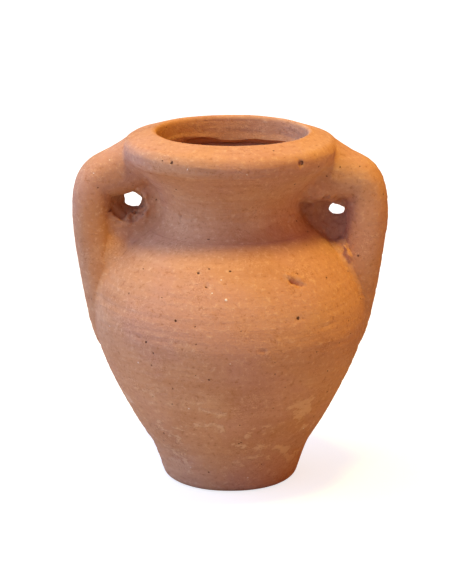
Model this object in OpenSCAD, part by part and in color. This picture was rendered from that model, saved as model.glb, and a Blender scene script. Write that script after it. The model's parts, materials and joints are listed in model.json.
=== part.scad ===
// Small two-handled amphora in unglazed earthenware.
// It is thrown in sections (foot, belly, neck, rim), luted together with slip,
// and has two pulled handles stuck on with collars of soft clay.
// +Z is up, the handles lie along X, and the origin is the centre of the foot.

/* [Vessel] */
// Height of the whole pot
pot_h = 120; // [105:1:135]
// Thickness of the thrown wall
wall = 4.3; // [3.4:0.1:5.2]

/* [Foot] */
// Radius of the flat face that it stands on
base_r = 20.2; // [16:0.2:24]
// Rounding of the foot's lower edge
base_edge_r = 3; // [2:0.1:4]
// Height of the foot section, up to its joint with the belly
foot_h = 15; // [12:0.5:18]
// Outer radius at the joint between foot and belly
waist_r = 28.2; // [25:0.2:31]
// Thickness of the floor
floor_h = 6; // [4:0.2:8]

/* [Belly] */
// Largest outer radius of the belly
belly_r = 46.5; // [42:0.5:50]
// Height of the largest radius
belly_z = 57; // [52:1:62]

/* [Neck] */
// Outer radius where the shoulder meets the neck
neck_base_r = 27.9; // [26:0.2:30]
// Height of that joint
neck_base_z = 87.6; // [83:0.4:91]
// Narrowest outer radius of the neck
neck_r = 24; // [22:0.2:25.6]
// Height of the narrowest radius
neck_z = 94.5; // [92:0.5:97]

/* [Rim] */
// Outer radius of the rolled rim
rim_r = 36; // [33.5:0.5:38]
// Height of the rolled rim
rim_h = 10; // [8:0.5:12]
// Radius of the mouth at the lip
mouth_r = 25.2; // [23.5:0.2:27]
// Depth of the crease between neck and rim
rim_crease = 1.8; // [1:0.1:3]

/* [Handles] */
// How far the middle of the handle stands from the pot's axis
handle_reach = 46.6; // [43:0.2:50]
// Thickness of the handle, seen from the front
handle_t = 13.7; // [11:0.1:16]
// Thickness where it leaves the rim
handle_top_t = 16.9; // [15:0.1:19]
// Width of the handle, seen from the side
handle_w = 19; // [15:0.5:23]
// Height of the handle's straight middle
handle_mid_z = 91; // [88:0.5:94]
// Drop of the handle's top end below the lip
handle_top_drop = 9.7; // [8.5:0.1:11]

/* [Luting clay] */
// How far the clay spreads past the sides of a handle
luting_spread = 2.6; // [1.5:0.1:4]
// Clay under the top of the left handle, beside the neck
left_top_fill = 2.6; // [1.5:0.1:4]
// Clay under the top of the right handle, beside the neck
right_top_fill = 5; // [3.5:0.1:6]
// Clay in the corner between the root of the left handle and the shoulder
left_root_fill = 12; // [9:0.5:14]
// Clay in the corner between the root of the right handle and the shoulder
right_root_fill = 6; // [4:0.5:8]

/* [Hidden] */

clay = "#c07a50";
clay_pale = "#cf946d";
clay_dark = "#a9653f";

turn_fn = 96;
curve_n = 8;
// Number of points round a handle's section, and of rings along each half of it
loft_sides = 16;
loft_n = 9;

// Rings of the loft at which the clay at each end of a handle thins out
top_edge_ring = 5;
left_root_edge_ring = loft_n;
right_root_edge_ring = loft_n + 1;
// How late the clay thins towards its edge, and how thick that edge is
top_power = 2.4;
root_power = 8;
luting_edge = 0.6;
// Points of the section between which the clay lies, round the side of the gap
clay_first = 3;
clay_last = loft_sides - 3;

waist_lean = 34;
shoulder_lean = 54;
foot_lean = 20;
crease_lean = 48;
rim_z = pot_h - rim_h;
crease_r = rim_r - rim_crease;
lip_r = 1.3;
rim_slope = 17;

// Points along a cubic curve, leaving out the first one
function curve(a, b, c, d, n = curve_n) = [
    for (i = [1:n])
        let (t = i / n, s = 1 - t)
        s * s * s * a + 3 * s * s * t * b + 3 * s * t * t * c + t * t * t * d
];

// Points along an arc from angle a0 to a1
function arc(centre, r, a0, a1, n = 5) = [
    for (i = [0:n])
        let (a = a0 + (a1 - a0) * i / n)
        centre + r * [cos(a), sin(a)]
];

function reversed(list) = [for (i = [len(list) - 1:-1:0]) list[i]];

// Direction that leans away from the vertical by the angle a, outwards
function leaning(a) = [sin(a), cos(a)];

// Wall thickness measured level, where the wall leans by the angle a
function level_wall(a) = wall / cos(a);

// Outlines of the four thrown sections, set in from the outside by a level distance at each end.
waist = [waist_r, foot_h];
widest = [belly_r, belly_z];
neck_base = [neck_base_r, neck_base_z];
throat = [neck_r, neck_z];
crease = [crease_r, rim_z];

function belly_line(low_in, mid_in, top_in) =
    let (
        a = waist - [low_in, 0],
        m = widest - [mid_in, 0],
        b = neck_base - [top_in, 0],
        low_pull = 0.29 * (belly_z - foot_h),
        mid_pull = 0.26 * (belly_z - foot_h),
        top_pull = 0.41 * (neck_base_z - belly_z),
        end_pull = 0.46 * (neck_base_z - belly_z)
    )
    concat(
        [a],
        curve(a, a + low_pull * leaning(waist_lean), m - [0, mid_pull], m),
        curve(m, m + [0, top_pull], b + end_pull * leaning(180 - shoulder_lean), b)
    );

function neck_line(low_in, mid_in, top_in) =
    let (
        a = neck_base - [low_in, 0],
        m = throat - [mid_in, 0],
        b = crease - [top_in, 0],
        low_pull = 0.38 * (neck_z - neck_base_z),
        high_pull = 0.42 * (rim_z - neck_z)
    )
    concat(
        [a],
        curve(a, a + low_pull * leaning(-shoulder_lean), m - [0, low_pull], m, 5),
        curve(m, m + [0, high_pull], b - high_pull * leaning(crease_lean), b)
    );

foot_edge = arc([base_r, base_edge_r], base_edge_r, -90, -foot_lean);
foot_line = concat(
    foot_edge,
    curve(
        foot_edge[len(foot_edge) - 1],
        foot_edge[len(foot_edge) - 1] + 0.3 * foot_h * leaning(foot_lean),
        waist - 0.3 * foot_h * leaning(waist_lean),
        waist, 5
    )
);

foot_in = level_wall(waist_lean);
shoulder_in = level_wall(shoulder_lean);
crease_in = level_wall(crease_lean);

rim_top_r = rim_r - 2.4;
lip = [mouth_r + lip_r, pot_h - lip_r];
rim_corner = [rim_top_r, pot_h - (rim_top_r - mouth_r - lip_r) * tan(rim_slope)];
rim_side = [rim_r, pot_h - 0.58 * rim_h];
rim_line = concat(
    [crease],
    curve(crease, crease + [1.3, 1], rim_side - [0, 1.6], rim_side, 4),
    curve(rim_side, rim_side + [0, 1.8], rim_corner - [-1.4, 0.43], rim_corner, 5),
    arc(lip, lip_r, 90 - rim_slope, 190, 6)
);

// Everything inside the pot's outer surface, its mouth included, used to trim what is
// stuck on it
module pot_envelope() {
    rotate_extrude($fn = turn_fn)
        polygon(concat(
            [[0, 0]], foot_line, belly_line(0, 0, 0), neck_line(0, 0, 0), rim_line,
            [[0, pot_h - lip_r]]
        ));
}

module foot() {
    inner = waist - [foot_in, 0];
    color(clay_dark)
        rotate_extrude($fn = turn_fn)
            polygon(concat(
                [[0, 0]], foot_line, [inner],
                curve(
                    inner, inner - 5 * leaning(waist_lean),
                    [base_r - 6, floor_h], [base_r - 9, floor_h], 5
                ),
                [[0, floor_h]]
            ));
}

module belly() {
    color(clay)
        rotate_extrude($fn = turn_fn)
            polygon(concat(
                belly_line(0, 0, 0),
                reversed(belly_line(foot_in, wall, shoulder_in))
            ));
}

module neck() {
    color(clay_dark)
        rotate_extrude($fn = turn_fn)
            polygon(concat(
                neck_line(0, 0, 0),
                reversed(neck_line(shoulder_in, wall, crease_in))
            ));
}

module rim() {
    color(clay_pale)
        rotate_extrude($fn = turn_fn)
            polygon(concat(rim_line, [[mouth_r - 0.4, rim_z]]));
}

// The handle's middle line in the XZ plane, from inside the rim to inside the belly.
// spread moves it sideways, towards the gap, for the clay that fills under a joint.
handle_start = [rim_r - 6, pot_h - handle_top_drop];
handle_mid = [handle_reach, handle_mid_z];
handle_end = [belly_r - 7.8, belly_z - 7.2];
handle_path = concat(
    [handle_start],
    curve(
        handle_start, handle_start + [12.4, -9.2], [handle_reach, handle_mid_z + 18],
        handle_mid, loft_n
    ),
    curve(
        handle_mid, handle_mid - [0, 4], handle_end + [4.2, 7.8],
        handle_end, loft_n
    )
);
path_last = len(handle_path) - 1;

function flow(i) =
    let (
        a = handle_path[max(i - 1, 0)],
        b = handle_path[min(i + 1, path_last)]
    )
    (b - a) / norm(b - a);

// 1 at the rim, falling smoothly to 0 where the handle turns down
function top_share(i) =
    let (t = min(i / (loft_n - 2), 1))
    1 - t * t * (3 - 2 * t);

function half_t(i) = (handle_t + (handle_top_t - handle_t) * top_share(i)) / 2;

// One ring of the loft: a rounded strap section, moved by shift towards the gap
// and grown by extra_t and extra_w on each side.
function ring(i, shift, extra_t, extra_w) =
    let (
        d = flow(i),
        away = [-d[1], d[0]],
        c = handle_path[i] - shift * away,
        ht = half_t(i) + extra_t,
        hw = handle_w / 2 + extra_w,
        soften = 0.82
    )
    [
        for (k = [0:loft_sides - 1])
            let (
                a = 360 * k / loft_sides,
                u = sign(cos(a)) * pow(abs(cos(a)), soften) * ht,
                v = sign(sin(a)) * pow(abs(sin(a)), soften) * hw
            )
            [c[0] + u * away[0], v, c[1] + u * away[1]]
    ];

// A closed skin through a list of rings with the same number of points
module loft(rings) {
    m = len(rings);
    n = len(rings[0]);
    faces = concat(
        [[for (k = [0:n - 1]) k]],
        [
            for (i = [0:m - 2], k = [0:n - 1])
                let (q = (k + 1) % n)
                [i * n + k, (i + 1) * n + k, (i + 1) * n + q]
        ],
        [
            for (i = [0:m - 2], k = [0:n - 1])
                let (q = (k + 1) % n)
                [i * n + k, (i + 1) * n + q, i * n + q]
        ],
        [[for (k = [n - 1:-1:0]) (m - 1) * n + k]]
    );
    polyhedron(points = [for (r = rings, p = r) p], faces = faces, convexity = 6);
}

module handle_loft() {
    loft([for (i = [0:path_last]) ring(i, 0, 0, 0)]);
}

module handle() {
    difference() {
        handle_loft();
        pot_envelope();
    }
}

// Growth of the clay, from 0 at its edges on the handle's flanks to 1 under the handle
function clay_share(k) = pow(sin(180 * (k - clay_first) / (clay_last - clay_first)), 0.6);

// Clay pressed round one end of a handle, as a band between the handle's own skin and
// a grown one. It is fullest at the ring that is buried in the pot, lies on the side
// of the gap, and thins to its edge at the ring edge.
module luting(buried, edge, fill, power) {
    first = min(buried, edge);
    last = max(buried, edge);
    m = last - first + 1;
    c = clay_last - clay_first + 1;
    bands = [
        for (i = [first:last])
            let (
                share = 1 - pow(abs(i - buried) / abs(edge - buried), power),
                skin = ring(i, 0, 0, 0),
                thin = ring(i, 0, luting_edge, luting_edge),
                full = ring(i, 0, luting_edge + fill * share, luting_edge + luting_spread * share)
            )
            concat(
                [for (k = [clay_first:clay_last]) skin[k]],
                [for (k = [clay_first:clay_last]) thin[k] + clay_share(k) * (full[k] - thin[k])]
            )
    ];
    inside = [for (i = [0:m - 1]) [for (k = [0:c - 1]) 2 * c * i + k]];
    outside = [for (i = [0:m - 1]) [for (k = [0:c - 1]) 2 * c * i + c + k]];
    skins = [
        for (i = [0:m - 2], k = [0:c - 2])
            each [
                [outside[i][k], outside[i + 1][k], outside[i + 1][k + 1]],
                [outside[i][k], outside[i + 1][k + 1], outside[i][k + 1]],
                [inside[i][k], inside[i + 1][k + 1], inside[i + 1][k]],
                [inside[i][k], inside[i][k + 1], inside[i + 1][k + 1]]
            ]
    ];
    flanks = [
        for (i = [0:m - 2])
            each [
                [outside[i + 1][0], outside[i][0], inside[i][0]],
                [outside[i + 1][0], inside[i][0], inside[i + 1][0]],
                [outside[i][c - 1], outside[i + 1][c - 1], inside[i + 1][c - 1]],
                [outside[i][c - 1], inside[i + 1][c - 1], inside[i][c - 1]]
            ]
    ];
    ends = [
        for (k = [0:c - 2])
            each [
                [outside[0][k], outside[0][k + 1], inside[0][k + 1], inside[0][k]],
                [outside[m - 1][k + 1], outside[m - 1][k], inside[m - 1][k], inside[m - 1][k + 1]]
            ]
    ];
    difference() {
        polyhedron(
            points = [for (b = bands, p = b) p],
            faces = concat(skins, flanks, ends),
            convexity = 6
        );
        pot_envelope();
    }
}

module left_side() {
    mirror([1, 0, 0]) children();
}

module left_handle() {
    color(clay) left_side() handle();
}

module right_handle() {
    color(clay) handle();
}

module left_handle_top_luting() {
    color(clay_pale) left_side() luting(0, top_edge_ring, left_top_fill, top_power);
}

module left_handle_root_luting() {
    color(clay_pale) left_side() luting(path_last, left_root_edge_ring, left_root_fill, root_power);
}

module right_handle_top_luting() {
    color(clay_pale) luting(0, top_edge_ring, right_top_fill, top_power);
}

module right_handle_root_luting() {
    color(clay_pale) luting(path_last, right_root_edge_ring, right_root_fill, root_power);
}

foot();
belly();
neck();
rim();
left_handle();
right_handle();
left_handle_top_luting();
left_handle_root_luting();
right_handle_top_luting();
right_handle_root_luting();
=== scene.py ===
"""A small two-handled amphora in unglazed earthenware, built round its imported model.

The pot is thrown in four sections (foot, belly, neck and rim). Two pulled handles are
stuck on, and clay is pressed round their ends. All sizes are in millimetres until a
mesh is finished, when it is brought to metres.
"""

import json
import logging
import math
from collections.abc import Iterator, Sequence
from contextlib import contextmanager
from dataclasses import dataclass, field
from enum import Enum

import bpy
import numpy as np
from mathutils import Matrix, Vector
from mathutils.bvhtree import BVHTree
from mathutils.kdtree import KDTree

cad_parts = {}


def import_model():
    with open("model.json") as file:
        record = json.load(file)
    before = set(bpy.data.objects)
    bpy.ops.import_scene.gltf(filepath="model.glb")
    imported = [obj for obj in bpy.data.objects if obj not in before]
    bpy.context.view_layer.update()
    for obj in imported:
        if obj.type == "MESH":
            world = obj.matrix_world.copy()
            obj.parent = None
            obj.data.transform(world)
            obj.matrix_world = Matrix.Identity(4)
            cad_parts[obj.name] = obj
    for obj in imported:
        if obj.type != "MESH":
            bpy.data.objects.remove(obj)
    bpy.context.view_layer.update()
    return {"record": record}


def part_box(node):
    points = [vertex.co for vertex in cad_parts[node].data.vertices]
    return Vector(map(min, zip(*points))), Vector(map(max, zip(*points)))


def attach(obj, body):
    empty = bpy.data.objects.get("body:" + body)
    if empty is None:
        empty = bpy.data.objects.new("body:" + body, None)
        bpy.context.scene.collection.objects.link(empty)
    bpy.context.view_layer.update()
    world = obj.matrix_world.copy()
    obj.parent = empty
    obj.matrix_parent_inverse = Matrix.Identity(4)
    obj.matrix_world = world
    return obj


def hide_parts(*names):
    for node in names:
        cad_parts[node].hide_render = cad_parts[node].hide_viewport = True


log = logging.getLogger("amphora")

MM = 0.001
MERGE = 0.004  # mm within which two points of a turned or drawn mesh are one
CUT_MERGE = 0.01  # the same for a mesh that was cut
EDGE_ANGLE = 50  # degrees from which an edge shows as an edge
WHITE = "#ffffff"
Point = tuple[float, float]
Place = tuple[float, float, float]
Socket = bpy.types.NodeSocket


class Side(Enum):
    """Which side of the pot a handle is on, as the sign of X."""

    LEFT = -1
    RIGHT = 1


class MarkKind(Enum):
    """What left a mark in the clay."""

    PIT = "pit"
    DRAG = "drag"
    LUMP = "lump"


# ---------------------------------------------------------------- curves and fields


def bezier(a: Point, b: Point, c: Point, d: Point, steps: int) -> list[Point]:
    """Points along a cubic curve, leaving out the first one.

    Args:
        a: Start point.
        b: First pull.
        c: Second pull.
        d: End point.
        steps: Number of points.

    Returns:
        The points, ending with d.
    """
    a, b, c, d = (np.array(p, float) for p in (a, b, c, d))
    points = []
    for i in range(1, steps + 1):
        t = i / steps
        s = 1 - t
        p = s**3 * a + 3 * s * s * t * b + 3 * s * t * t * c + t**3 * d
        points.append((float(p[0]), float(p[1])))
    return points


def arc(centre: Point, radius: float, start: float, end: float, steps: int) -> list[Point]:
    """Points along an arc, with both ends.

    Args:
        centre: Centre of the arc.
        radius: Its radius.
        start: First angle in degrees.
        end: Last angle in degrees.
        steps: Number of stretches.

    Returns:
        The points.
    """
    angles = [math.radians(start + (end - start) * i / steps) for i in range(steps + 1)]
    return [(centre[0] + radius * math.cos(a), centre[1] + radius * math.sin(a)) for a in angles]


def leaning(angle: float, length: float = 1.0) -> np.ndarray:
    """A step of the given length that leans outwards from the vertical by angle degrees."""
    return length * np.array([math.sin(math.radians(angle)), math.cos(math.radians(angle))])


def evened(points: Sequence[Point], spacing: float) -> list[Point]:
    """Points at an even spacing along a line.

    Args:
        points: The line's points.
        spacing: Distance wanted between neighbours.

    Returns:
        New points, with the first and last kept.
    """
    p = np.array(points, float)
    run = np.concatenate([[0], np.cumsum(np.linalg.norm(np.diff(p, axis=0), axis=1))])
    count = max(2, round(run[-1] / spacing) + 1)
    at = np.linspace(0, run[-1], count)
    return list(zip(np.interp(at, run, p[:, 0]).tolist(), np.interp(at, run, p[:, 1]).tolist()))


def smooth_share(t: np.ndarray) -> np.ndarray:
    """Rises smoothly from 0 to 1 as t goes from 0 to 1."""
    t = np.clip(t, 0, 1)
    return t * t * (3 - 2 * t)


@dataclass(frozen=True)
class ClayNoise:
    """Smooth seeded noise in space, for the unevenness that hands leave.

    Attributes:
        size: Distance between lumps in mm.
        seed: Seed of the random lattice.
    """

    size: float
    seed: int

    def __call__(self, points: np.ndarray) -> np.ndarray:
        """Noise at each point.

        Args:
            points: Places in mm, one row each.

        Returns:
            One value a row, from about -1 to 1.
        """
        cells = 32
        lattice = np.random.default_rng(self.seed).uniform(-1, 1, (cells, cells, cells))
        above_zero = 1000
        q = points / self.size + above_zero
        base = np.floor(q).astype(int)
        f = q - base
        f = f * f * f * (f * (f * 6 - 15) + 10)
        total = np.zeros(len(points))
        for dx in (0, 1):
            for dy in (0, 1):
                for dz in (0, 1):
                    weight = np.ones(len(points))
                    for axis, d in enumerate((dx, dy, dz)):
                        weight *= f[:, axis] if d else 1 - f[:, axis]
                    corner = (base + (dx, dy, dz)) % cells
                    total += weight * lattice[corner[:, 0], corner[:, 1], corner[:, 2]]
        return total


# ---------------------------------------------------------------- work with operators


def deselect() -> None:
    """Deselects every object."""
    bpy.ops.object.select_all(action="DESELECT")


def activate(obj: bpy.types.Object) -> None:
    """Selects one object alone and makes it the active one.

    Args:
        obj: The object.
    """
    deselect()
    obj.select_set(True)
    bpy.context.view_layer.objects.active = obj


@contextmanager
def editing(obj: bpy.types.Object, points: Sequence[int] | None = None) -> Iterator[None]:
    """Opens one object in edit mode while the block runs.

    Args:
        obj: The object.
        points: Numbers of the points that are selected, or None for all of it.

    Yields:
        Nothing.
    """
    activate(obj)
    if points is not None:
        for point in obj.data.vertices:
            point.select = point.index in points
    bpy.ops.object.mode_set(mode="EDIT")
    if points is None:
        bpy.ops.mesh.select_all(action="SELECT")
    yield
    bpy.ops.object.mode_set(mode="OBJECT")


def read_points(obj: bpy.types.Object, what: str) -> np.ndarray:
    """Reads a vector of each of the mesh's points.

    Args:
        obj: The piece.
        what: Name of the vector.

    Returns:
        The vectors, one row each.
    """
    values = np.empty(len(obj.data.vertices) * 3, np.float32)
    obj.data.vertices.foreach_get(what, values)
    return values.reshape(-1, 3).astype(float)


def coords(obj: bpy.types.Object) -> np.ndarray:
    """The mesh's points, one row each."""
    return read_points(obj, "co")


def normals(obj: bpy.types.Object) -> np.ndarray:
    """The outward direction at each of the mesh's points."""
    return read_points(obj, "normal")


def set_coords(obj: bpy.types.Object, co: np.ndarray) -> None:
    """Moves the mesh's points."""
    obj.data.vertices.foreach_set("co", co.astype(np.float32).ravel())
    obj.data.update()


def apply_modifier(obj: bpy.types.Object, kind: str, **settings: object) -> None:
    """Adds a modifier, sets it up and applies it.

    Args:
        obj: The piece.
        kind: Blender's name for the kind of modifier.
        **settings: The modifier's own settings.
    """
    activate(obj)
    modifier = obj.modifiers.new(kind.lower(), kind)
    for name, value in settings.items():
        setattr(modifier, name, value)
    bpy.ops.object.modifier_apply(modifier=modifier.name)


def duplicate(obj: bpy.types.Object, name: str) -> bpy.types.Object:
    """Copies a piece and its mesh.

    Args:
        obj: The piece.
        name: Name of the copy.

    Returns:
        The copy.
    """
    copy = obj.copy()
    copy.data = obj.data.copy()
    copy.name = name
    bpy.context.scene.collection.objects.link(copy)
    return copy


def join(pieces: Sequence[bpy.types.Object], name: str) -> bpy.types.Object:
    """Joins pieces into one.

    Args:
        pieces: The pieces.
        name: Name of the whole.

    Returns:
        The whole.
    """
    deselect()
    for piece in pieces:
        piece.select_set(True)
    whole = pieces[0]
    bpy.context.view_layer.objects.active = whole
    bpy.ops.object.join()
    whole.name = whole.data.name = name
    return whole


def draw_out(steps: Sequence[Place]) -> None:
    """Extrudes what is selected in edit mode, one step after the other."""
    for step in steps:
        bpy.ops.mesh.extrude_region_move(TRANSFORM_OT_translate={"value": step})


def bisect(obj: bpy.types.Object, point: Sequence[float], outward: Sequence[float]) -> None:
    """Cuts off what lies beyond a plane and closes the cut.

    Args:
        obj: The piece.
        point: A point on the plane.
        outward: Points from the plane to the side that is cut off.
    """
    with editing(obj):
        bpy.ops.mesh.bisect(plane_co=point, plane_no=outward, use_fill=True, clear_outer=True)


def face_outwards(obj: bpy.types.Object) -> None:
    """Merges a closed mesh's doubles and turns all its faces outwards.

    Args:
        obj: The piece.
    """
    with editing(obj):
        bpy.ops.mesh.remove_doubles(threshold=MERGE)
        bpy.ops.mesh.normals_make_consistent(inside=False)


def largest_set(mesh: bpy.types.Mesh) -> set[int]:
    """Finds the faces that make up most of a mesh.

    Faces hang together across each edge that just two of them share, so a crumb or a
    folded flap of no thickness is a set of its own.

    Args:
        mesh: The mesh.

    Returns:
        Numbers of the faces in the largest set.
    """
    at_edge: dict[tuple[int, int], list[int]] = {}
    for face in mesh.polygons:
        for edge in face.edge_keys:
            at_edge.setdefault(edge, []).append(face.index)
    beside: list[list[int]] = [[] for _ in mesh.polygons]
    for sharers in at_edge.values():
        if len(sharers) == 2:
            beside[sharers[0]].append(sharers[1])
            beside[sharers[1]].append(sharers[0])
    left = set(range(len(beside)))
    largest: set[int] = set()
    while left:
        found, waiting = set(), [left.pop()]
        while waiting:
            face = waiting.pop()
            found.add(face)
            fresh = [other for other in beside[face] if other in left]
            left.difference_update(fresh)
            waiting.extend(fresh)
        largest = max(largest, found, key=len)
    return largest


def keep_largest(obj: bpy.types.Object) -> None:
    """Cleans a cut mesh and drops the crumbs and folded flaps that the cuts left.

    Args:
        obj: The piece.
    """
    with editing(obj):
        bpy.ops.mesh.remove_doubles(threshold=CUT_MERGE)
        bpy.ops.mesh.dissolve_degenerate(threshold=CUT_MERGE)
        bpy.ops.mesh.select_all(action="SELECT")
        bpy.ops.mesh.quads_convert_to_tris()
        bpy.ops.mesh.select_all(action="DESELECT")
        bpy.ops.mesh.select_mode(type="FACE")
    kept = largest_set(obj.data)
    for face in obj.data.polygons:
        face.select = face.index not in kept
    bpy.ops.object.mode_set(mode="EDIT")
    bpy.ops.mesh.delete(type="FACE")
    bpy.ops.mesh.select_mode(type="VERT")
    bpy.ops.object.mode_set(mode="OBJECT")


def turned(name: str, outline: Sequence[Point], steps: int) -> bpy.types.Object:
    """A closed solid turned round Z, as on a wheel.

    One point is drawn out along the outline and the line is turned. An outline that
    starts and ends on the axis is left open there, and any other is closed first.

    Args:
        name: Name of the new piece.
        outline: Radius and height of each point, going round anticlockwise.
        steps: Number of stretches round the wheel.

    Returns:
        The piece.
    """
    deselect()
    first, last = outline[0], outline[-1]
    bpy.ops.mesh.primitive_plane_add(size=1, location=(first[0], 0, first[1]))
    obj = bpy.context.object
    obj.name = obj.data.name = name
    bpy.ops.object.transform_apply(location=True, rotation=True, scale=True)
    with editing(obj):
        bpy.ops.mesh.merge(type="CENTER")
        draw_out([(b[0] - a[0], 0, b[1] - a[1]) for a, b in zip(outline, outline[1:])])
        bpy.ops.mesh.select_all(action="SELECT")
    on_axis = 0.01
    if first[0] > on_axis or last[0] > on_axis:
        with editing(obj, (0, len(obj.data.vertices) - 1)):
            bpy.ops.mesh.edge_face_add()
    apply_modifier(
        obj, "SCREW", angle=2 * math.pi, steps=steps, render_steps=steps,
        use_merge_vertices=True, merge_threshold=MERGE,
    )
    face_outwards(obj)
    return obj


# ---------------------------------------------------------------- the shape that hands leave


@dataclass(frozen=True)
class Mark:
    """One mark in the clay.

    Attributes:
        kind: What left it.
        turn: Degrees round the pot from the front, towards +X.
        height: Height above the foot in mm.
        long: Half its length in mm.
        wide: Half its width in mm.
        deep: Depth or height in mm.
        tilt: Degrees that its length rises from the level.
    """

    kind: MarkKind
    turn: float
    height: float
    long: float
    wide: float
    deep: float
    tilt: float = 0.0


@dataclass
class Hands:
    """Makes all pieces uneven in the same way, so that their seams stay shut.

    Attributes:
        sway: How far the big unevenness moves the clay, in mm.
        dents: How far finger dents move it.
        grit: How far the coarse sand moves it.
        ring: Depth of the throwing rings.
        foot_hold: Height in mm below which the foot keeps its flat face.
        rings: Pitch in mm and phase of each set of throwing rings.
    """

    sway: float = 0.55
    dents: float = 0.16
    grit: float = 0.035
    ring: float = 0.07
    foot_hold: float = 5.0
    rings: tuple[Point, ...] = ((3.7, 0.4), (2.3, 1.9), (5.9, 4.0))

    def shift(self, p: np.ndarray) -> np.ndarray:
        """How far the clay at each place moves.

        Args:
            p: Places in mm, one row each.

        Returns:
            Moves in mm, one row each.
        """
        move = np.zeros_like(p)
        shares = (1.0, 1.0, 0.5)
        layers = ((46.0, self.sway, 3), (9.0, self.dents, 11), (1.5, self.grit, 23))
        for size, reach, seed in layers:
            for axis, share in enumerate(shares):
                move[:, axis] += share * reach * ClayNoise(size, seed + axis)(p)
        around = np.maximum(np.hypot(p[:, 0], p[:, 1]), 1e-6)
        ripple = np.zeros(len(p))
        slow = ClayNoise(30.0, 41)(p)
        for pitch, phase in self.rings:
            ripple += np.sin(2 * math.pi * (p[:, 2] + 1.5 * slow) / pitch + phase) / len(self.rings)
        ripple *= self.ring * (1 + ClayNoise(25.0, 47)(p))
        move[:, 0] += ripple * p[:, 0] / around
        move[:, 1] += ripple * p[:, 1] / around
        move[:, 2] *= smooth_share(p[:, 2] / self.foot_hold)
        return move

    def shape(self, obj: bpy.types.Object) -> None:
        """Makes one piece uneven."""
        co = coords(obj)
        set_coords(obj, co + self.shift(co))


def press_mark(obj: bpy.types.Object, mark: Mark, roughness: float = 0.6) -> None:
    """Presses one mark into a piece, or raises it.

    Args:
        obj: The piece.
        mark: The mark.
        roughness: How ragged its outline is.
    """
    co = coords(obj)
    no = normals(obj)
    turn = math.radians(mark.turn)
    out = np.array([math.sin(turn), -math.cos(turn), 0])
    along = np.array([math.cos(turn), math.sin(turn), 0])
    inner_wall = -0.2
    near = (co @ out > 0) & (no @ out > inner_wall)
    across = co @ along
    rise = co[:, 2] - mark.height
    tilt = math.radians(mark.tilt)
    a = (across * math.cos(tilt) + rise * math.sin(tilt)) / mark.long
    b = (rise * math.cos(tilt) - across * math.sin(tilt)) / mark.wide
    ragged = 1 + roughness * ClayNoise(max(0.8, 0.5 * mark.wide), 7)(co)
    steepness = 1.25
    share = smooth_share(steepness * (1 - np.hypot(a, b) * ragged)) * near
    sign = 1 if mark.kind is MarkKind.LUMP else -1
    set_coords(obj, co + sign * mark.deep * share[:, None] * no)


# Turn, height, half length, half width, depth and tilt of the marks on each thrown section.
MARKS: dict[str, tuple[Mark, ...]] = {
    "rim": (
        Mark(MarkKind.PIT, 39.8, 114.6, 1.1, 1.7, 1.2, 8),
        Mark(MarkKind.PIT, -31.8, 115.4, 0.7, 0.7, 0.5),
        Mark(MarkKind.DRAG, 14, 111.6, 9.0, 0.7, 0.35, 2),
        Mark(MarkKind.DRAG, -12, 113.2, 7.0, 0.6, 0.25, -2),
        Mark(MarkKind.PIT, 128, 114.0, 0.8, 1.1, 0.9, 20),
        Mark(MarkKind.DRAG, 172, 112.8, 8.0, 0.7, 0.3, 3),
    ),
    "neck": (
        Mark(MarkKind.PIT, -43.0, 94.6, 0.6, 1.5, 0.8, 25),
        Mark(MarkKind.PIT, -47.0, 100.5, 0.7, 0.7, 0.6),
        Mark(MarkKind.DRAG, 12, 97.0, 7.0, 0.8, 0.3, 4),
        Mark(MarkKind.DRAG, 195, 99.0, 8.0, 0.8, 0.35, -3),
    ),
    "belly": (
        Mark(MarkKind.DRAG, 32.4, 76.3, 3.8, 0.95, 1.5, -20),
        Mark(MarkKind.LUMP, 30.4, 78.2, 2.8, 0.8, 0.6, -14),
        Mark(MarkKind.LUMP, 35.4, 77.4, 1.5, 0.8, 0.4, -30),
        Mark(MarkKind.PIT, 13.6, 56.6, 1.5, 0.8, 0.45, -24),
        Mark(MarkKind.LUMP, 15.8, 55.2, 1.2, 0.7, 0.35, -20),
        Mark(MarkKind.LUMP, -7.8, 68.2, 1.9, 0.7, 0.35, 4),
        Mark(MarkKind.PIT, -31.0, 39.6, 0.7, 1.4, 0.6, 15),
        Mark(MarkKind.PIT, -16.1, 79.8, 0.7, 0.6, 0.45),
        Mark(MarkKind.PIT, -10.9, 76.4, 0.8, 0.6, 0.5),
        Mark(MarkKind.PIT, 29.3, 66.0, 0.9, 0.7, 0.5, 12),
        Mark(MarkKind.PIT, -35.9, 57.4, 0.8, 0.7, 0.45),
        Mark(MarkKind.LUMP, 21.0, 36.0, 6.5, 2.2, 0.22, 14),
        Mark(MarkKind.LUMP, -6.0, 33.0, 7.0, 1.6, 0.25, -8),
        Mark(MarkKind.DRAG, 44.0, 62.0, 9.0, 0.8, 0.22, 5),
        Mark(MarkKind.DRAG, 160.0, 70.0, 7.0, 0.9, 0.4, -12),
        Mark(MarkKind.PIT, 205.0, 52.0, 1.6, 0.9, 0.6, 30),
        Mark(MarkKind.LUMP, 184.0, 40.0, 4.0, 1.4, 0.3, 10),
    ),
    "foot": (
        Mark(MarkKind.PIT, 24.0, 10.5, 1.2, 0.7, 0.4, 10),
        Mark(MarkKind.DRAG, -20.0, 8.0, 6.0, 0.8, 0.3, 3),
        Mark(MarkKind.DRAG, 170.0, 9.0, 7.0, 0.8, 0.3, -4),
    ),
}


# ---------------------------------------------------------------- thrown sections


@dataclass(frozen=True)
class Speck:
    """A lime speck in the clay, or a pit that gets painted shade as a dark colour.

    Attributes:
        place: Its middle in mm.
        radius: Its radius in mm.
        pale: Whether it is lime and not a hole; a hole gets a dark colour as painted shade.
    """

    place: Place
    radius: float
    pale: bool = True


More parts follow.
